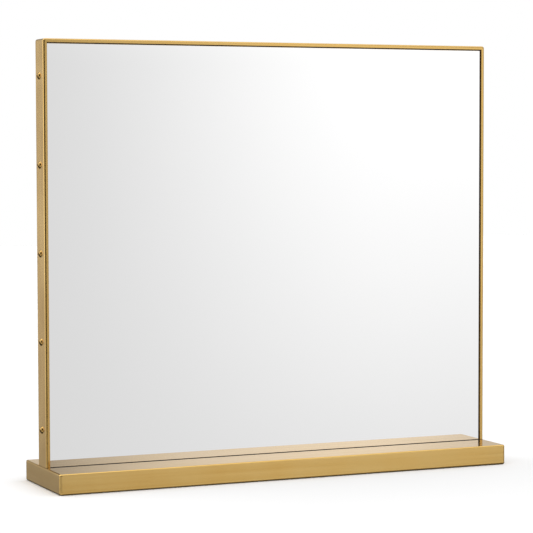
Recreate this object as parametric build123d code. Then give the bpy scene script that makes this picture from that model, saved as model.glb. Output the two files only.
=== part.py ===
from build123d import *
import os

# A framed mirror that stands on a plinth. Millimetres, +Z up, the mirror faces -Y.
# The origin is on the table, under the middle of the plinth.

# Overall sizes
frame_width = 610.0
frame_height = 523.0
frame_depth = 32.0
base_depth = 136.0
base_height = 25.5
base_overhang = 1.5
frame_setback = 56.0
foot_height = 0.5

# Frame bars
bar_thickness = 4.75
frame_corner_radius = 3.0
bar_edge_radius = 2.0
bar_lip_radius = 0.4
mitre_gap = 0.1
blind_hole_skin = 1.2
frame_sink = 0.7

# Glass and what holds it
glass_recess = 2.5
glass_thickness = 4.0
glass_side_gap = 0.5
glass_top_gap = 1.0
glass_arris = 0.4
film_thickness = 0.3
film_inset = 1.0
seal_setback = 0.5
seal_depth = 1.2
setting_block_height = 0.5
setting_block_length = 60.0
setting_block_end_distance = 110.0
tape_thickness = 1.0
tape_width = 25.0
tape_count = 6
tape_end_distance = 30.0
tape_side_distance = 20.0

# Board and rails behind the glass
panel_thickness = 3.0
panel_gap = 0.5
rail_depth = 12.0
rail_width = 30.0
cover_thickness = 3.0
cover_gap = 0.75

# Angle brackets in the frame's corners
bracket_leg = 22.0
bracket_thickness = 2.5
bracket_side_clearance = 1.0
bracket_hole_distance = 14.0
bracket_rail_clearance = 2.0

# Screws: nominal diameters, lengths under the head, and head sizes
thread_clearance = 0.05
through_clearance = 0.3
hole_end_clearance = 2.0
side_screw_diameter = 5.0
side_screw_length = 20.0
side_screw_head_diameter = 9.5
side_screw_head_height = 2.75
side_screw_socket = 3.0
side_screw_socket_depth = 1.6
side_screw_count = 5
side_screw_end_distance = 45.0
side_insert_diameter = 8.0
side_insert_length = 12.0
side_screw_turn = 25.0
bracket_screw_diameter = 4.0
bracket_screw_head_diameter = 7.5
bracket_screw_tip_clearance = 0.4
cover_screw_diameter = 3.0
cover_screw_length = 12.0
cover_screw_head_diameter = 5.6
cover_screw_head_height = 1.8
cover_screw_recess_depth = 1.1
cover_screw_turn = 35.0
bolt_diameter = 6.0
bolt_head_diameter = 10.0
bolt_head_height = 6.0
bolt_socket = 5.0
bolt_socket_depth = 3.0
bolt_reach = 18.0
bolt_count = 4
bolt_end_distance = 60.0
base_insert_diameter = 8.5
base_insert_length = 15.0
washer_diameter = 12.0
washer_thickness = 1.6
plate_screw_diameter = 4.0
plate_screw_length = 12.0
plate_screw_head_diameter = 7.5
flush_recess_depth = 1.2
cross_width_share = 0.55
cross_arm_share = 0.26
tip_chamfer_share = 0.1

# Plinth
shell_wall = 3.0
base_corner_radius = 3.0
base_edge_radius = 2.0
base_foot_radius = 2.0
groove_clearance = 1.2
groove_end_clearance = 0.2
groove_edge_radius = 0.4
core_gap = 0.5
plate_thickness = 2.5
plate_gap = 0.4
boss_diameter = 9.0
boss_wall_distance = 9.0
boss_end_distance = 18.0
boss_columns = 4
boss_hole_depth = 14.0
bolt_pocket_diameter = 14.0
bolt_pocket_spare = 0.4
foot_strip_width = 18.0
foot_strip_inset = 13.0
foot_strip_end_distance = 42.0

# Planes worked out from the sizes above
base_half = frame_width / 2 + base_overhang
base_front = -base_depth / 2
base_back = base_depth / 2
base_top = foot_height + base_height
half_width = frame_width / 2
inner_half = half_width - bar_thickness
frame_front = base_front + frame_setback
frame_back = frame_front + frame_depth
frame_foot = base_top - frame_sink
frame_top = base_top + frame_height
inner_top = frame_top - bar_thickness

# Layers behind the frame's front, from front to back
glass_front = frame_front + glass_recess
glass_back = glass_front + glass_thickness
film_back = glass_back + film_thickness
tape_back = film_back + tape_thickness
panel_back = tape_back + panel_thickness
rail_back = panel_back + rail_depth
cover_back = rail_back + cover_thickness
rail_mid = panel_back + rail_depth / 2

# Glass outline
glass_half = inner_half - glass_side_gap
glass_bottom = frame_foot + setting_block_height
glass_top = inner_top - glass_top_gap

# Plinth levels
plate_top = foot_height + plate_thickness
shell_ceiling = base_top - shell_wall
groove_floor = frame_foot - bar_thickness
groove_underside = groove_floor - shell_wall
groove_front = frame_front - groove_clearance
groove_back = frame_back + groove_clearance
groove_half = half_width + groove_end_clearance
bolt_seat = plate_top + bolt_head_height + washer_thickness + bolt_pocket_spare
boss_row = base_back - shell_wall - boss_wall_distance

# How far a cutter runs past what it cuts, and how closely an edge is picked
overrun = 5.0
pick = 0.01


def slab(x0, x1, y0, y1, z0, z1):
    """A block between two corners."""
    centre = Pos((x0 + x1) / 2, (y0 + y1) / 2, (z0 + z1) / 2)
    return centre * Box(x1 - x0, y1 - y0, z1 - z0)


def profile_block(points, y0, y1):
    """A block with an outline in X and Z, from y0 back to y1."""
    outline = Plane.XZ.offset(-y1) * make_face(Polyline(*points, close=True))
    return extrude(outline, y1 - y0)


def placed(shape, point, direction):
    """A shape made along +Z from the origin, moved to a point and turned to a direction."""
    return Plane(origin=point, z_dir=direction) * shape


def rod(point, direction, radius, length):
    """A cylinder that starts at a point and runs along a direction."""
    upright = Pos(0, 0, length / 2) * Cylinder(radius, length)
    return placed(upright, point, direction)


def spread(first, last, count):
    """Evenly spaced values from first to last."""
    step = (last - first) / (count - 1)
    return [first + step * i for i in range(count)]


def midpoints(values):
    """The values half way between neighbours."""
    return [(a + b) / 2 for a, b in zip(values, values[1:])]


def hex_socket(width, depth, top):
    """A hexagonal recess that opens at height top."""
    outline = RegularPolygon(width / 2, 6, major_radius=False)
    return Pos(0, 0, top - depth) * extrude(outline, depth + overrun)


def cross_recess(head_diameter, depth, top):
    """A cross-shaped recess that opens at height top."""
    width = head_diameter * cross_width_share
    arm = width * cross_arm_share
    height = depth + overrun
    return Pos(0, 0, top - depth + height / 2) * (Box(width, arm, height) + Box(arm, width, height))


def domed_head(diameter, height):
    """A low dome on the plane z = 0."""
    sphere_radius = (diameter ** 2 / 4 + height ** 2) / (2 * height)
    ball = Pos(0, 0, height - sphere_radius) * Sphere(sphere_radius)
    keep = Pos(0, 0, height / 2) * Box(2 * diameter, 2 * diameter, height)
    return ball & keep


def domed_screw(diameter, length, head_diameter, head_height, recess):
    """A screw with its head's underside on z = 0 and its shank below."""
    shank = Pos(0, 0, -length / 2) * Cylinder(diameter / 2, length)
    tip_edges = shank.edges().group_by(Axis.Z)[0]
    shank = chamfer(tip_edges, diameter * tip_chamfer_share)
    return shank + domed_head(head_diameter, head_height) - recess


def flush_screw(diameter, length, head_diameter):
    """A countersunk screw with its head's top on z = 0."""
    head_height = (head_diameter - diameter) / 2
    head = Pos(0, 0, -head_height / 2) * Cone(diameter / 2, head_diameter / 2, head_height)
    shank = Pos(0, 0, -length / 2) * Cylinder(diameter / 2, length)
    return shank + head - cross_recess(head_diameter, flush_recess_depth, 0)


def flush_hole(diameter, thickness, head_diameter):
    """The cutter for a flush screw: a through hole, with a countersink that its head seats in."""
    radius = diameter / 2 + through_clearance
    cone_height = head_diameter / 2 - radius
    length = thickness + overrun
    cone = Pos(0, 0, -cone_height / 2) * Cone(radius, head_diameter / 2, cone_height)
    return cone + Pos(0, 0, -length / 2) * Cylinder(radius, length)


def insert_tube(outer_diameter, bore_diameter, length):
    """A threaded insert that runs from z = 0 up."""
    body = Pos(0, 0, length / 2) * Cylinder(outer_diameter / 2, length)
    bore = Pos(0, 0, length / 2) * Cylinder(bore_diameter / 2 + thread_clearance, length + overrun)
    return body - bore


def mirrored(shape):
    """The same shape on the other side of the middle plane."""
    return mirror(shape, Plane.YZ)


# Hole and screw places
side_screw_heights = spread(base_top + side_screw_end_distance, frame_top - side_screw_end_distance,
                            side_screw_count)
bolt_places = spread(-inner_half + bolt_end_distance, inner_half - bolt_end_distance, bolt_count)
boss_places = spread(-base_half + boss_end_distance, base_half - boss_end_distance, boss_columns)
level_bracket_holes = (-inner_half + bracket_hole_distance, inner_half - bracket_hole_distance)
corner_pocket = bracket_leg + bracket_rail_clearance
side_cover_heights = midpoints(side_screw_heights)
level_cover_places = midpoints(bolt_places)


def front_and_back_edges(shape):
    """The edges of a shape's foremost and rearmost faces."""
    faces = shape.faces().sort_by(Axis.Y)
    return faces[0].edges() + faces[-1].edges()


def frame_loop():
    """Left, top and right of the frame as one loop, not yet cut at the corners."""
    foot = frame_foot - overrun
    outer = slab(-half_width, half_width, frame_front, frame_back, foot, frame_top)
    outer = fillet(outer.edges().filter_by(Axis.Y).group_by(Axis.Z)[-1], frame_corner_radius)
    rims = [edge for edge in front_and_back_edges(outer) if edge.center().Z > foot + pick]
    outer = fillet(rims, bar_edge_radius)
    loop = outer - slab(-inner_half, inner_half, frame_front - overrun, frame_back + overrun,
                        foot - overrun, inner_top)
    lips = [edge for edge in front_and_back_edges(loop)
            if abs(edge.center().X) < inner_half + pick
            and foot + pick < edge.center().Z < inner_top + pick]
    return fillet(lips, bar_lip_radius)


def side_region():
    """The space that the left bar keeps, from the bottom bar up to the mitre."""
    drop = mitre_gap / 2 * 2 ** 0.5
    outline = [
        (-half_width - overrun, frame_foot),
        (-inner_half + overrun, frame_foot),
        (-inner_half + overrun, inner_top - overrun - drop),
        (-half_width - overrun, frame_top + overrun - drop),
    ]
    return profile_block(outline, frame_front - overrun, frame_back + overrun)


def top_region():
    """The space that the top bar keeps, between the two mitres."""
    rise = mitre_gap / 2 * 2 ** 0.5
    outline = [
        (-half_width - overrun, frame_top + overrun + rise),
        (-inner_half + overrun, inner_top - overrun + rise),
        (inner_half - overrun, inner_top - overrun + rise),
        (half_width + overrun, frame_top + overrun + rise),
    ]
    return profile_block(outline, frame_front - overrun, frame_back + overrun)


def bracket_screw_hole(mouth, direction):
    """A blind hole in a bar for one of the brackets' screws."""
    radius = bracket_screw_diameter / 2 + thread_clearance
    return rod(mouth, direction, radius, bar_thickness - blind_hole_skin)


def make_left_bar(loop):
    bar = loop & side_region()
    for z in side_screw_heights:
        bar -= rod((-half_width - overrun, rail_mid, z), (1, 0, 0),
                   side_screw_diameter / 2 + through_clearance, bar_thickness + 2 * overrun)
    for z in (frame_foot + bracket_hole_distance, inner_top - bracket_hole_distance):
        bar -= bracket_screw_hole((-inner_half, rail_mid, z), (-1, 0, 0))
    return bar


def make_top_bar(loop):
    bar = loop & top_region()
    for x in level_bracket_holes:
        bar -= bracket_screw_hole((x, rail_mid, inner_top), (0, 0, 1))
    return bar


def make_bottom_bar():
    bar = slab(-half_width, half_width, frame_front, frame_back, groove_floor, frame_foot)
    bar = fillet(bar.edges().filter_by(Axis.X).group_by(Axis.Z)[-1], bar_lip_radius)
    for x in bolt_places:
        bar -= rod((x, rail_mid, groove_floor - overrun), (0, 0, 1), bolt_diameter / 2 + through_clearance,
                   bar_thickness + 2 * overrun)
    for x in level_bracket_holes:
        bar -= bracket_screw_hole((x, rail_mid, frame_foot), (0, 0, -1))
    return bar


def make_bracket():
    """The angle bracket in the frame's lower left corner."""
    corner_x = -inner_half
    outline = [
        (corner_x, frame_foot),
        (corner_x + bracket_leg, frame_foot),
        (corner_x + bracket_leg, frame_foot + bracket_thickness),
        (corner_x + bracket_thickness, frame_foot + bracket_thickness),
        (corner_x + bracket_thickness, frame_foot + bracket_leg),
        (corner_x, frame_foot + bracket_leg),
    ]
    body = profile_block(outline, panel_back + bracket_side_clearance, rail_back - bracket_side_clearance)
    cutter = flush_hole(bracket_screw_diameter, bracket_thickness, bracket_screw_head_diameter)
    for point, direction in lower_left_screw_places():
        body -= placed(cutter, point, direction)
    return body


def lower_left_screw_places():
    """Where the lower left bracket's two screw heads sit, and which way they face."""
    level = (-inner_half + bracket_hole_distance, rail_mid, frame_foot + bracket_thickness)
    upright = (-inner_half + bracket_thickness, rail_mid, frame_foot + bracket_hole_distance)
    return [(level, (0, 0, 1)), (upright, (1, 0, 0))]


def four_corners(shape):
    """A lower left piece and its copies in the other three corners."""
    middle_height = (frame_foot + inner_top) / 2
    upper = mirror(shape, Plane.XY.offset(middle_height))
    return [shape, upper, mirrored(shape), mirrored(upper)]


def make_corner_brackets():
    return four_corners(make_bracket())


def make_bracket_screws():
    length = bracket_thickness + bar_thickness - blind_hole_skin - bracket_screw_tip_clearance
    screw = flush_screw(bracket_screw_diameter, length, bracket_screw_head_diameter)
    screws = []
    for point, direction in lower_left_screw_places():
        screws += four_corners(placed(screw, point, direction))
    return screws


def make_left_frame_screws():
    recess = hex_socket(side_screw_socket, side_screw_socket_depth, side_screw_head_height)
    screw = domed_screw(side_screw_diameter, side_screw_length, side_screw_head_diameter,
                        side_screw_head_height, recess)
    return [placed(Rot(0, 0, side_screw_turn * i) * screw, (-half_width, rail_mid, z), (-1, 0, 0))
            for i, z in enumerate(side_screw_heights)]


def make_mirror_glass():
    glass = slab(-glass_half, glass_half, glass_front, glass_back, glass_bottom, glass_top)
    return chamfer(front_and_back_edges(glass), glass_arris)


def make_safety_film():
    return slab(-glass_half + film_inset, glass_half - film_inset, glass_back, film_back,
                glass_bottom + film_inset, glass_top - film_inset)


def make_edge_seal():
    """A dark bead in the gap round the glass, as four strips, and one that fills the groove in front of it."""
    y0 = glass_front + seal_setback
    y1 = y0 + seal_depth
    left = slab(-inner_half, -glass_half, y0, y1, glass_bottom, glass_top)
    top = slab(-inner_half, inner_half, y0, y1, glass_top, inner_top)
    bottom = slab(-inner_half, inner_half, y0, y1, frame_foot, glass_bottom)
    front = slab(-groove_half, groove_half, groove_front, frame_front, frame_foot, base_top)
    front += slab(-inner_half, inner_half, frame_front, glass_front, frame_foot, base_top)
    return [left, mirrored(left), top, bottom, front]


def make_setting_blocks():
    middle = -inner_half + setting_block_end_distance
    block = slab(middle - setting_block_length / 2, middle + setting_block_length / 2,
                 glass_front + seal_setback + seal_depth, film_back, frame_foot, glass_bottom)
    return [block, mirrored(block)]


def make_mounting_tape():
    reach = glass_half - tape_side_distance - tape_width / 2
    return [slab(x - tape_width / 2, x + tape_width / 2, film_back, tape_back,
                 glass_bottom + tape_end_distance, glass_top - tape_end_distance)
            for x in spread(-reach, reach, tape_count)]


def make_backing_panel():
    return slab(-inner_half + panel_gap, inner_half - panel_gap, tape_back, panel_back,
                frame_foot + panel_gap, inner_top - panel_gap)


def cover_screw_places():
    """Where the rear cover's screws go, as X and Z."""
    side_x = inner_half - rail_width / 2
    places = [(side * side_x, z) for z in side_cover_heights for side in (-1, 1)]
    places += [(x, z) for x in level_cover_places
               for z in (frame_foot + rail_width / 2, inner_top - rail_width / 2)]
    inner_heights = side_cover_heights[1:-1]
    places += [(0, z) for z in inner_heights]
    return places


def drilled_for_cover(rail):
    """A rail with the pilot holes of the rear cover's screws that reach it."""
    radius = cover_screw_diameter / 2 + thread_clearance
    depth = cover_screw_length - cover_thickness + thread_clearance
    for x, z in cover_screw_places():
        rail -= rod((x, rail_back, z), (0, -1, 0), radius, depth)
    return rail


def make_rail_left():
    rail = slab(-inner_half, -inner_half + rail_width, panel_back, rail_back,
                frame_foot + rail_width, inner_top - rail_width)
    tip_depth = side_screw_length - bar_thickness + hole_end_clearance
    for height in side_screw_heights:
        mouth = (-inner_half, rail_mid, height)
        rail -= rod(mouth, (1, 0, 0), side_insert_diameter / 2, side_insert_length)
        rail -= rod(mouth, (1, 0, 0), side_screw_diameter / 2 + through_clearance, tip_depth)
    return drilled_for_cover(rail)


def make_rail_top():
    rail = slab(-inner_half + corner_pocket, inner_half - corner_pocket, panel_back, rail_back,
                inner_top - rail_width, inner_top)
    return drilled_for_cover(rail)


def make_rail_bottom():
    rail = slab(-inner_half + corner_pocket, inner_half - corner_pocket, panel_back, rail_back,
                frame_foot, frame_foot + rail_width)
    for x in bolt_places:
        mouth = (x, rail_mid, frame_foot)
        rail -= rod(mouth, (0, 0, 1), base_insert_diameter / 2, base_insert_length)
        rail -= rod(mouth, (0, 0, 1), bolt_diameter / 2 + through_clearance,
                    bolt_reach + hole_end_clearance)
    return drilled_for_cover(rail)


def make_rail_middle():
    rail = slab(-rail_width / 2, rail_width / 2, panel_back, rail_back,
                frame_foot + rail_width, inner_top - rail_width)
    return drilled_for_cover(rail)


def make_side_inserts():
    tube = insert_tube(side_insert_diameter, side_screw_diameter, side_insert_length)
    left = [placed(tube, (-inner_half, rail_mid, z), (1, 0, 0)) for z in side_screw_heights]
    return left + [mirrored(insert) for insert in left]


def make_base_inserts():
    tube = insert_tube(base_insert_diameter, bolt_diameter, base_insert_length)
    return [placed(tube, (x, rail_mid, frame_foot), (0, 0, 1)) for x in bolt_places]


def make_rear_cover():
    cover = slab(-inner_half + cover_gap, inner_half - cover_gap, rail_back, cover_back,
                 frame_foot + cover_gap, inner_top - cover_gap)
    for x, z in cover_screw_places():
        cover -= rod((x, cover_back + overrun, z), (0, -1, 0), cover_screw_diameter / 2 + through_clearance,
                     cover_thickness + 2 * overrun)
    return cover


def make_cover_screws():
    recess = cross_recess(cover_screw_head_diameter, cover_screw_recess_depth, cover_screw_head_height)
    screw = domed_screw(cover_screw_diameter, cover_screw_length, cover_screw_head_diameter,
                        cover_screw_head_height, recess)
    return [placed(Rot(0, 0, cover_screw_turn * i) * screw, (x, cover_back, z), (0, 1, 0))
            for i, (x, z) in enumerate(cover_screw_places())]


def boss_points():
    """The shell's screw bosses, as X and Y."""
    return [(x, y) for x in boss_places for y in (-boss_row, boss_row)]


def groove_rims(shell):
    """The long edges where the groove's walls meet the plinth's top."""
    return [edge for edge in shell.edges().filter_by(Axis.X)
            if edge.center().Z > base_top - pick
            and min(abs(edge.center().Y - groove_front), abs(edge.center().Y - groove_back)) < pick]


def make_base_shell():
    """A thin-walled box, open below, with a groove across its top for the frame."""
    shell = slab(-base_half, base_half, base_front, base_back, foot_height, base_top)
    shell = fillet(shell.edges().filter_by(Axis.Z), base_corner_radius)
    shell = fillet(shell.faces().sort_by(Axis.Z)[-1].edges(), base_edge_radius)
    shell = fillet(shell.faces().sort_by(Axis.Z)[0].edges(), base_foot_radius)
    inner_x = base_half - shell_wall
    shell -= slab(-inner_x, inner_x, base_front + shell_wall, base_back - shell_wall,
                  foot_height - overrun, shell_ceiling)
    shell += slab(-inner_x, inner_x, groove_front - shell_wall, groove_back + shell_wall,
                  groove_underside, shell_ceiling)
    shell -= slab(-groove_half, groove_half, groove_front, groove_back,
                  groove_floor, base_top + overrun)
    shell = fillet(groove_rims(shell), groove_edge_radius)
    boss_height = shell_ceiling - plate_top
    for x, y in boss_points():
        shell += rod((x, y, plate_top), (0, 0, 1), boss_diameter / 2, boss_height)
        shell -= rod((x, y, plate_top), (0, 0, 1), plate_screw_diameter / 2 + thread_clearance,
                     boss_hole_depth)
    for x in bolt_places:
        shell -= rod((x, rail_mid, groove_underside - overrun), (0, 0, 1),
                     bolt_diameter / 2 + through_clearance, shell_wall + 2 * overrun)
    return shell


def make_base_core():
    """The block that fills the shell, cut for the groove, the bosses and the bolts."""
    core_x = base_half - shell_wall - core_gap
    core_y = base_back - shell_wall - core_gap
    core = slab(-core_x, core_x, -core_y, core_y, plate_top, shell_ceiling)
    core -= slab(-core_x - overrun, core_x + overrun, groove_front - shell_wall - core_gap,
                 groove_back + shell_wall + core_gap, groove_underside, base_top)
    for x, y in boss_points():
        core -= rod((x, y, plate_top - overrun), (0, 0, 1), boss_diameter / 2 + core_gap,
                    base_height + 2 * overrun)
    for x in bolt_places:
        core -= rod((x, rail_mid, plate_top - overrun), (0, 0, 1), bolt_diameter / 2 + through_clearance,
                    base_height + 2 * overrun)
        core -= rod((x, rail_mid, plate_top - overrun), (0, 0, 1), bolt_pocket_diameter / 2,
                    bolt_seat - plate_top + overrun)
    return core


def make_bottom_plate():
    plate_x = base_half - shell_wall - plate_gap
    plate_y = base_back - shell_wall - plate_gap
    plate = slab(-plate_x, plate_x, -plate_y, plate_y, foot_height, plate_top)
    cutter = flush_hole(plate_screw_diameter, plate_thickness, plate_screw_head_diameter)
    for x, y in boss_points():
        plate -= placed(cutter, (x, y, foot_height), (0, 0, -1))
    return plate


def make_plate_screws():
    screw = flush_screw(plate_screw_diameter, plate_screw_length, plate_screw_head_diameter)
    return [placed(screw, (x, y, foot_height), (0, 0, -1)) for x, y in boss_points()]


def make_frame_bolts():
    underside = bolt_seat - washer_thickness
    length = frame_foot + bolt_reach - underside
    shank = Pos(0, 0, length / 2) * Cylinder(bolt_diameter / 2, length)
    head = Pos(0, 0, -bolt_head_height / 2) * Cylinder(bolt_head_diameter / 2, bolt_head_height)
    socket = mirror(hex_socket(bolt_socket, bolt_socket_depth, bolt_head_height), Plane.XY)
    bolt = shank + head - socket
    return [Pos(x, rail_mid, underside) * bolt for x in bolt_places]


def make_bolt_washers():
    washer = Cylinder(washer_diameter / 2, washer_thickness)
    washer -= Cylinder(bolt_diameter / 2 + through_clearance, washer_thickness + overrun)
    return [Pos(x, rail_mid, bolt_seat - washer_thickness / 2) * washer for x in bolt_places]


def make_foot_strips():
    reach = base_half - foot_strip_end_distance
    half = foot_strip_width / 2
    return [slab(x - half, x + half, base_front + foot_strip_inset, base_back - foot_strip_inset,
                 0, foot_height)
            for x in (-reach, 0, reach)]


def write(node, shape):
    """Writes one sub-part. A list is a group of separate solids."""
    if isinstance(shape, list):
        shape = Compound(children=[solid for piece in shape for solid in piece.solids()])
    export_step(shape, f"parts/{node}.step")


os.makedirs("parts", exist_ok=True)

loop = frame_loop()
left_bar = make_left_bar(loop)
left_frame_screws = make_left_frame_screws()
rail_left = make_rail_left()

write("left_bar", left_bar)
write("right_bar", mirrored(left_bar))
write("top_bar", make_top_bar(loop))
write("bottom_bar", make_bottom_bar())
write("left_frame_screws", left_frame_screws)
write("right_frame_screws", [mirrored(screw) for screw in left_frame_screws])
write("corner_brackets", make_corner_brackets())
write("bracket_screws", make_bracket_screws())
write("mirror_glass", make_mirror_glass())
write("safety_film", make_safety_film())
write("edge_seal", make_edge_seal())
write("setting_blocks", make_setting_blocks())
write("mounting_tape", make_mounting_tape())
write("backing_panel", make_backing_panel())
write("rail_left", rail_left)
write("rail_right", mirrored(rail_left))
write("rail_top", make_rail_top())
write("rail_bottom", make_rail_bottom())
write("rail_middle", make_rail_middle())
write("side_inserts", make_side_inserts())
write("base_inserts", make_base_inserts())
write("rear_cover", make_rear_cover())
write("cover_screws", make_cover_screws())
write("base_shell", make_base_shell())
write("base_core", make_base_core())
write("bottom_plate", make_bottom_plate())
write("plate_screws", make_plate_screws())
write("frame_bolts", make_frame_bolts())
write("bolt_washers", make_bolt_washers())
write("foot_strips", make_foot_strips())
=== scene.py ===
import math

import bpy
from mathutils import Matrix, Vector

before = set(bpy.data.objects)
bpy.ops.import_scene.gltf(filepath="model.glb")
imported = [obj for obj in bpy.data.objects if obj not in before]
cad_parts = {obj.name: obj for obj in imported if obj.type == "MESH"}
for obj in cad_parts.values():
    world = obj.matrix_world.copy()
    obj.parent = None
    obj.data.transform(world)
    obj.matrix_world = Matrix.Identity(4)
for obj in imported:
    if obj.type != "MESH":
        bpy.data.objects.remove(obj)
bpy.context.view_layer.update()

# The looks of a brass-framed table mirror on a plinth. Metres, +Z up, the mirror faces -Y.

# Camera, fitted to the straight edges in the photograph
camera_place = (-1.10711, -2.49068, 0.42124)
camera_yaw = 23.8601
camera_pitch = 3.2909
camera_roll = 0.1219
camera_lens = 144.366
sensor_width = 36.0

# Metals, seen straight on, each with a deeper and a paler tone
brass_deep = (0.745, 0.462, 0.135)
brass_pale = (0.835, 0.560, 0.200)
# The screw tones are the brass made darker: painted shade for the dark side and socket of each domed head
screw_painted_shade_deep = (0.430, 0.265, 0.080)
screw_painted_shade_pale = (0.540, 0.345, 0.115)
silver_dull = (0.900, 0.900, 0.900)
silver_clear = (0.908, 0.906, 0.906)
zinc = ((0.56, 0.57, 0.58), (0.70, 0.71, 0.72))
blackened = ((0.030, 0.030, 0.032), (0.060, 0.060, 0.062))

# Plain materials, each with a darker and a lighter tone
black = ((0.010, 0.010, 0.011), (0.020, 0.020, 0.021))
rubber = ((0.012, 0.012, 0.012), (0.026, 0.026, 0.026))
foam = ((0.030, 0.031, 0.034), (0.060, 0.062, 0.066))
film = ((0.42, 0.45, 0.48), (0.50, 0.53, 0.56))
floor_paint = ((0.80, 0.80, 0.80), (0.82, 0.82, 0.82))

# Wood and board
pine_pale = (0.66, 0.45, 0.24)
pine_ring = (0.42, 0.23, 0.095)
pine_fibre = (0.33, 0.17, 0.07)
board_dark = (0.36, 0.235, 0.13)
board_light = (0.50, 0.345, 0.205)
board_fleck = (0.22, 0.13, 0.065)

# The parts of a noise's range that a tone or a roughness is spread over
wide = (0.3, 0.7)
narrow = (0.35, 0.65)
haze_range = (0.4, 0.7)
ring_range = (0.36, 0.62)
fibre_range = (0.35, 0.75)
fleck_range = (0.60, 0.72)

# The largest part of a normal: over the first on a flat face, and down to the second in a rounded edge
flat_normal = 0.995
edge_normal = 0.90

# The least part of a normal along an axis that the surface faces
facing_share = 0.7


def node(tree, kind, sockets=None, **settings):
    """Adds a node. A socket value that is itself an output is joined, and any other value is set."""
    made = tree.nodes.new(kind)
    for name, value in settings.items():
        setattr(made, name, value)
    for key, value in (sockets or {}).items():
        if isinstance(value, bpy.types.NodeSocket):
            tree.links.new(value, made.inputs[key])
        else:
            made.inputs[key].default_value = value
    return made


def maths(tree, operation, a, b=0.0, c=0.0):
    return node(tree, "ShaderNodeMath", {0: a, 1: b, 2: c}, operation=operation).outputs[0]


def blend(tree, first, second, share):
    """A share of the first value and the rest of the second."""
    rest = maths(tree, "MULTIPLY", second, 1.0 - share)
    return maths(tree, "MULTIPLY_ADD", first, share, rest)


def vector_maths(tree, operation, a, b=(0, 0, 0)):
    made = node(tree, "ShaderNodeVectorMath", {0: a, 1: b}, operation=operation)
    return made.outputs["Value" if operation == "DOT_PRODUCT" else "Vector"]


def remap(tree, value, low, high, to_low, to_high, smooth=False):
    """Maps low..high to to_low..to_high and holds the ends."""
    made = node(tree, "ShaderNodeMapRange",
                {"Value": value, "From Min": low, "From Max": high, "To Min": to_low, "To Max": to_high},
                interpolation_type="SMOOTHSTEP" if smooth else "LINEAR")
    return made.outputs["Result"]


def as_colour(value):
    return value if isinstance(value, bpy.types.NodeSocket) else (*value, 1.0)


def mix_colours(tree, factor, first, second):
    sockets = {0: factor, 6: as_colour(first), 7: as_colour(second)}
    return node(tree, "ShaderNodeMix", sockets, data_type="RGBA").outputs[2]


def mix_numbers(tree, factor, first, second):
    return node(tree, "ShaderNodeMix", {0: factor, 2: first, 3: second}, data_type="FLOAT").outputs[0]


def mix_vectors(tree, factor, first, second):
    return node(tree, "ShaderNodeMix", {0: factor, 4: first, 5: second}, data_type="VECTOR").outputs[1]


def place(tree):
    """A point's place on the part, in metres."""
    return node(tree, "ShaderNodeTexCoord").outputs["Object"]


def surface_normal(tree):
    return node(tree, "ShaderNodeNewGeometry").outputs["Normal"]


def noise(tree, at, scale, detail=3.0, roughness=0.5):
    made = node(tree, "ShaderNodeTexNoise",
                {"Vector": at, "Scale": scale, "Detail": detail, "Roughness": roughness})
    return made.outputs[0]


def stretched(tree, scales):
    """The place with each axis scaled, for grain and strokes that run along the axis with the small scale."""
    return vector_maths(tree, "MULTIPLY", place(tree), scales)


def start(name):
    """A new material, its node tree and its shader."""
    made = bpy.data.materials.new(name)
    made.use_nodes = True
    tree = made.node_tree
    return made, tree, tree.nodes["Principled BSDF"]


def join(tree, shader, **outputs):
    """Joins outputs to the shader's sockets, whose names are given with _ for a space."""
    for name, output in outputs.items():
        tree.links.new(output, shader.inputs[name.replace("_", " ")])


def bump(tree, height, distance):
    return node(tree, "ShaderNodeBump", {"Height": height, "Distance": distance}).outputs["Normal"]


def rounded_edges(tree):
    """1 on a rounded edge and 0 on a flat face."""
    parts = node(tree, "ShaderNodeSeparateXYZ", {0: vector_maths(tree, "ABSOLUTE", surface_normal(tree))})
    larger = maths(tree, "MAXIMUM", parts.outputs[1], parts.outputs[2])
    largest = maths(tree, "MAXIMUM", parts.outputs[0], larger)
    return remap(tree, largest, edge_normal, flat_normal, 1.0, 0.0, smooth=True)


unit = {"x": (1, 0, 0), "y": (0, 1, 0), "z": (0, 0, 1)}


def stroke_scales(axis, along, across):
    return tuple(along if unit[axis][i] else across for i in range(3))


def facing(tree, axis):
    """1 where the surface faces along an axis, and 0 elsewhere."""
    share = maths(tree, "ABSOLUTE", vector_maths(tree, "DOT_PRODUCT", surface_normal(tree), unit[axis]))
    return maths(tree, "GREATER_THAN", share, facing_share)


def brushed_strokes(tree, axis, end_axis, along, across, detail):
    """Streaks along one axis, and along another on the ends that face the first."""
    main = noise(tree, stretched(tree, stroke_scales(axis, along, across)), 1.0, detail, 0.6)
    ends = noise(tree, stretched(tree, stroke_scales(end_axis, along, across)), 1.0, detail, 0.6)
    return mix_numbers(tree, facing(tree, axis), main, ends)


def brushed_tangent(tree, axis, end_axis):
    """The direction in which the brushing spreads a reflection: across the strokes, in the surface."""
    strokes = mix_vectors(tree, facing(tree, axis), unit[axis], unit[end_axis])
    across = vector_maths(tree, "CROSS_PRODUCT", surface_normal(tree), strokes)
    return vector_maths(tree, "NORMALIZE", across)


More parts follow.
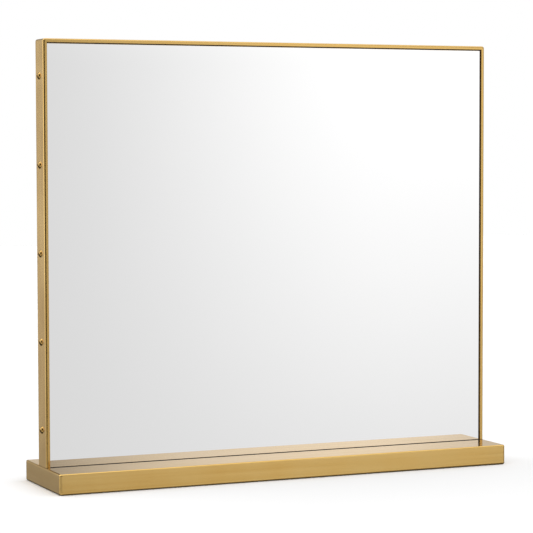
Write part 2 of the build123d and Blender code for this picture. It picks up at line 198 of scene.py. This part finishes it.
def brass(name, axis, end_axis, roughness=0.18, anisotropy=0.7):
    """Brushed brass with strokes along an axis."""
    stroke_shade = 0.12
    edge_shine = 0.25
    stroke_roughness = 0.03
    cloud_roughness = 0.02
    edge_polish = 0.03
    made, tree, shader = start(name)
    fine = brushed_strokes(tree, axis, end_axis, along=9.0, across=1400.0, detail=4.0)
    broad = brushed_strokes(tree, axis, end_axis, along=3.0, across=170.0, detail=2.0)
    clouds = noise(tree, place(tree), scale=14.0, roughness=0.55)
    edges = rounded_edges(tree)
    tone = remap(tree, blend(tree, broad, clouds, 0.5), *narrow, 0.0, 1.0)
    colour = mix_colours(tree, tone, brass_deep, brass_pale)
    colour = mix_colours(tree, remap(tree, fine, *wide, 0.0, stroke_shade), colour, brass_deep)
    colour = mix_colours(tree, maths(tree, "MULTIPLY", edges, edge_shine), colour, brass_pale)
    rough = remap(tree, fine, *wide, roughness - stroke_roughness, roughness + stroke_roughness)
    rough = maths(tree, "ADD", rough, remap(tree, clouds, *narrow, -cloud_roughness, cloud_roughness))
    rough = maths(tree, "SUBTRACT", rough, maths(tree, "MULTIPLY", edges, edge_polish))
    shader.inputs["Metallic"].default_value = 1.0
    shader.inputs["Anisotropic"].default_value = anisotropy
    join(tree, shader, Base_Color=colour, Roughness=rough, Normal=bump(tree, fine, distance=0.000012),
         Tangent=brushed_tangent(tree, axis, end_axis))
    return made


def turned_brass(name, deep, pale):
    """Brass of the screw heads and inserts: turned, so with no long strokes."""
    smoothest = 0.12
    roughest = 0.20
    made, tree, shader = start(name)
    grain = noise(tree, place(tree), scale=1600.0, roughness=0.6)
    clouds = noise(tree, place(tree), scale=150.0, detail=2.0)
    colour = mix_colours(tree, remap(tree, clouds, *wide, 0.0, 1.0), deep, pale)
    rough = remap(tree, grain, *wide, smoothest, roughest)
    shader.inputs["Metallic"].default_value = 1.0
    join(tree, shader, Base_Color=colour, Roughness=rough, Normal=bump(tree, grain, distance=0.000006))
    return made


def silvered(name):
    """The mirror: a clear neutral reflection with the faintest haze."""
    smoothest = 0.004
    roughest = 0.014
    made, tree, shader = start(name)
    haze = noise(tree, place(tree), scale=5.0, detail=4.0, roughness=0.55)
    colour = mix_colours(tree, remap(tree, haze, *wide, 0.0, 1.0), silver_dull, silver_clear)
    rough = remap(tree, haze, *haze_range, smoothest, roughest)
    shader.inputs["Metallic"].default_value = 1.0
    join(tree, shader, Base_Color=colour, Roughness=rough)
    return made


def moulded(name, tones, roughness, grain_size, relief, gloss=0.5):
    """A plain material with fine grain, soft cloudy variation and a slightly paler rubbed edge."""
    grain_roughness = 0.07
    edge_rub = 0.35
    rubbed_gain = 1.5
    rubbed_lift = 0.01
    dark, light = tones
    rubbed = tuple(min(1.0, value * rubbed_gain + rubbed_lift) for value in light)
    made, tree, shader = start(name)
    grain = noise(tree, place(tree), scale=1.0 / grain_size, detail=4.0, roughness=0.6)
    clouds = noise(tree, place(tree), scale=30.0)
    tone = remap(tree, blend(tree, grain, clouds, 0.5), *narrow, 0.0, 1.0)
    colour = mix_colours(tree, tone, dark, light)
    colour = mix_colours(tree, maths(tree, "MULTIPLY", rounded_edges(tree), edge_rub), colour, rubbed)
    rough = remap(tree, grain, *wide, roughness - grain_roughness, roughness + grain_roughness)
    shader.inputs["Specular IOR Level"].default_value = gloss
    join(tree, shader, Base_Color=colour, Roughness=rough, Normal=bump(tree, grain, relief))
    return made


def softwood(name, axis):
    """Pale pine with growth lines along an axis."""
    fibre_shade = 0.35
    smoothest = 0.62
    roughest = 0.82
    made, tree, shader = start(name)
    sway = noise(tree, stretched(tree, stroke_scales(axis, 4.0, 30.0)), 1.0)
    rings = noise(tree, stretched(tree, stroke_scales(axis, 1.5, 130.0)), 1.0, detail=2.0)
    fibres = noise(tree, stretched(tree, stroke_scales(axis, 30.0, 1800.0)), 1.0, detail=4.0, roughness=0.6)
    tone = remap(tree, blend(tree, rings, sway, 0.6), *ring_range, 0.0, 1.0, smooth=True)
    colour = mix_colours(tree, tone, pine_pale, pine_ring)
    colour = mix_colours(tree, remap(tree, fibres, *fibre_range, 0.0, fibre_shade), colour, pine_fibre)
    rough = remap(tree, fibres, *wide, smoothest, roughest)
    join(tree, shader, Base_Color=colour, Roughness=rough, Normal=bump(tree, fibres, distance=0.00008))
    return made


def board(name):
    """Fibreboard: fine pressed fibres and flecks."""
    pressed = (500.0, 500.0, 900.0)
    fleck_shade = 0.6
    smoothest = 0.72
    roughest = 0.88
    made, tree, shader = start(name)
    fibres = noise(tree, stretched(tree, pressed), 1.0, detail=5.0, roughness=0.65)
    flecks = noise(tree, place(tree), scale=320.0, detail=2.0)
    colour = mix_colours(tree, remap(tree, fibres, *narrow, 0.0, 1.0), board_dark, board_light)
    colour = mix_colours(tree, remap(tree, flecks, *fleck_range, 0.0, fleck_shade), colour, board_fleck)
    rough = remap(tree, fibres, *wide, smoothest, roughest)
    join(tree, shader, Base_Color=colour, Roughness=rough, Normal=bump(tree, fibres, distance=0.00006))
    return made


def plated(name, tones, roughness):
    """Plated or blackened steel of brackets, bolts and screws."""
    edge_wear = 0.4
    worn_gain = 1.35
    worn_lift = 0.02
    smoother = 0.06
    rougher = 0.08
    dark, light = tones
    worn = tuple(min(1.0, value * worn_gain + worn_lift) for value in light)
    made, tree, shader = start(name)
    crystals = node(tree, "ShaderNodeTexVoronoi", {"Vector": place(tree), "Scale": 900.0}).outputs["Distance"]
    clouds = noise(tree, place(tree), scale=160.0, roughness=0.55)
    tone = blend(tree, clouds, crystals, 0.8)
    colour = mix_colours(tree, remap(tree, tone, *wide, 0.0, 1.0), dark, light)
    colour = mix_colours(tree, maths(tree, "MULTIPLY", rounded_edges(tree), edge_wear), colour, worn)
    rough = remap(tree, tone, *wide, roughness - smoother, roughness + rougher)
    shader.inputs["Metallic"].default_value = 1.0
    join(tree, shader, Base_Color=colour, Roughness=rough, Normal=bump(tree, crystals, distance=0.000004))
    return made


finishes = [
    (brass("brass_upright", "z", "y"), ["left_bar", "right_bar"]),
    (brass("brass_level", "x", "y"), ["top_bar", "bottom_bar"]),
    (brass("brass_plinth", "x", "y", anisotropy=0.5), ["base_shell"]),
    (turned_brass("brass_turned", brass_deep, brass_pale), ["side_inserts", "base_inserts"]),
    # The frame screws take the darkened brass tones, which paint shade onto their heads
    (turned_brass("brass_screws_painted_shade", screw_painted_shade_deep, screw_painted_shade_pale), ["left_frame_screws", "right_frame_screws"]),
    (silvered("silvering"), ["mirror_glass"]),
    # The edge seal is black rubber, and where it fills the groove in front of the frame its black is also
    # painted shade for the seam at the mirror's foot
    (moulded("rubber", rubber, roughness=0.72, grain_size=0.0006, relief=0.00003, gloss=0.15),
     ["edge_seal", "setting_blocks", "foot_strips"]),
    (moulded("foam", foam, roughness=0.85, grain_size=0.0009, relief=0.00008), ["mounting_tape"]),
    (moulded("film", film, roughness=0.45, grain_size=0.0012, relief=0.00001), ["safety_film"]),
    (softwood("pine_upright", "z"), ["rail_left", "rail_right", "rail_middle"]),
    (softwood("pine_level", "x"), ["rail_top", "rail_bottom"]),
    (board("fibreboard"), ["backing_panel", "base_core"]),
    (moulded("black_board", black, roughness=0.55, grain_size=0.0007, relief=0.00003), ["rear_cover"]),
    (moulded("black_steel", black, roughness=0.48, grain_size=0.0011, relief=0.00003), ["bottom_plate"]),
    (plated("zinc", zinc, roughness=0.34),
     ["corner_brackets", "bracket_screws", "frame_bolts", "bolt_washers"]),
    (plated("blackened", blackened, roughness=0.36), ["cover_screws", "plate_screws"]),
]

for finish, members in finishes:
    for member in members:
        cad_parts[member].material_slots[0].material = finish

# The floor gathers light as if only the plinth stood on it, so the tall frame throws no broad shade over it
standing_low = ["base_shell", "base_core", "bottom_plate", "plate_screws", "foot_strips"]
for name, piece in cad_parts.items():
    piece.visible_diffuse = name in standing_low


def make_floor():
    """A wide pale floor, which glossy surfaces don't reflect."""
    reach = 6.0
    corners = [(-reach, -reach, 0), (reach, -reach, 0), (reach, reach, 0), (-reach, reach, 0)]
    mesh = bpy.data.meshes.new("floor")
    mesh.from_pydata(corners, [], [(0, 1, 2, 3)])
    floor = bpy.data.objects.new("floor", mesh)
    bpy.context.scene.collection.objects.link(floor)
    made, tree, shader = start("floor_paint")
    join(tree, shader, Base_Color=mix_colours(tree, noise(tree, place(tree), scale=3.0), *floor_paint))
    shader.inputs["Roughness"].default_value = 1.0
    shader.inputs["Specular IOR Level"].default_value = 0.0
    mesh.materials.append(made)
    floor.visible_glossy = False


# Light that the camera sees directly, that dull surfaces gather, and that glossy surfaces reflect everywhere
backdrop = 1.0
soft_even = 0.58
soft_window = 1.50
soft_from = (0.28, -0.68, 0.68)
ambient = 0.10

# Soft sources that glossy surfaces reflect. Bearings are degrees clockwise from +Y, seen from above, so 180
# is in front and 90 is on the right. Each one is full inside its first half-width and height, and gone
# outside the second.
sources = [
    # name, bearing, full, gone, elevation, full, gone, strength
    ("front wall", 155, 7, 11, -3, 5.5, 8.5, 0.66),
    ("front window", 151, 1, 13, 12, 8, 27, 0.42),
    ("high panel", 156, 2, 10, 16, 9, 14, 0.62),
    ("low front", 161, 4, 16, -22, 8, 13, 0.56),
    ("low left", 223, 43, 62, -26, 14, 19, 0.80),
    ("left panel", 302, 28, 39, 30, 30, 44, 1.15),
    ("back wall", 0, 45, 75, 3.5, 10, 17, 0.32),
    ("back panel", 27, 20, 38, 12, 14, 26, 0.28),
    ("right panel", 100, 30, 48, 14, 18, 32, 0.50),
    ("ceiling", 0, 180, 181, 90, 42, 58, 1.12),
]


def band(tree, distance, full, gone):
    """1 up to the full distance and 0 from the other on."""
    return remap(tree, distance, full, gone, 1.0, 0.0, smooth=True)


def source_share(tree, level, elevation, source):
    """How much of a source is seen in a direction, from 0 to 1."""
    bearing, full, gone, height, full_height, gone_height = source[1:-1]
    middle = (math.sin(math.radians(bearing)), math.cos(math.radians(bearing)), 0)
    turn = maths(tree, "DEGREES", maths(tree, "ARCCOSINE", vector_maths(tree, "DOT_PRODUCT", level, middle)))
    rise = maths(tree, "ABSOLUTE", maths(tree, "SUBTRACT", elevation, height))
    return maths(tree, "MULTIPLY", band(tree, turn, full, gone), band(tree, rise, full_height, gone_height))


def make_world():
    """The soft sources for gloss, a plain soft light for dull surfaces, and a plain backdrop."""
    world = bpy.data.worlds.new("studio")
    bpy.context.scene.world = world
    world.use_nodes = True
    tree = world.node_tree
    direction = vector_maths(tree, "NORMALIZE", node(tree, "ShaderNodeTexCoord").outputs["Generated"])
    level = vector_maths(tree, "NORMALIZE", vector_maths(tree, "MULTIPLY", direction, (1, 1, 0)))
    height = node(tree, "ShaderNodeSeparateXYZ", {0: direction}).outputs[2]
    elevation = maths(tree, "DEGREES", maths(tree, "ARCSINE", height))
    gloss = ambient
    for source in sources:
        share = source_share(tree, level, elevation, source)
        gloss = maths(tree, "MULTIPLY_ADD", share, source[-1], gloss)
    window = maths(tree, "MAXIMUM", vector_maths(tree, "DOT_PRODUCT", direction, soft_from), 0.0)
    soft = maths(tree, "MULTIPLY_ADD", window, soft_window, soft_even)
    rays = node(tree, "ShaderNodeLightPath")
    strength = mix_numbers(tree, rays.outputs["Is Diffuse Ray"], gloss, soft)
    strength = mix_numbers(tree, rays.outputs["Is Camera Ray"], strength, backdrop)
    background = tree.nodes["Background"]
    tree.links.new(strength, background.inputs["Strength"])
    background.inputs["Color"].default_value = (1, 1, 1, 1)


def look_matrix():
    """The camera's axes and place, from its yaw, pitch and roll."""
    yaw = math.radians(camera_yaw)
    pitch = math.radians(camera_pitch)
    roll = math.radians(camera_roll)
    forward = Vector((math.sin(yaw) * math.cos(pitch), math.cos(yaw) * math.cos(pitch), -math.sin(pitch)))
    level_right = Vector((math.cos(yaw), -math.sin(yaw), 0.0))
    level_down = forward.cross(level_right)
    right = level_right * math.cos(roll) + level_down * math.sin(roll)
    down = forward.cross(right)
    turned = Matrix((right, -down, -forward)).transposed()
    return Matrix.Translation(camera_place) @ turned.to_4x4()


def make_camera():
    lens = bpy.data.cameras.new("camera")
    lens.lens = camera_lens
    lens.sensor_width = sensor_width
    lens.clip_start = 0.05
    lens.clip_end = 50.0
    camera = bpy.data.objects.new("camera", lens)
    bpy.context.scene.collection.objects.link(camera)
    camera.matrix_world = look_matrix()
    bpy.context.scene.camera = camera


make_floor()
make_world()
make_camera()
bpy.context.scene.view_settings.view_transform = "Standard"
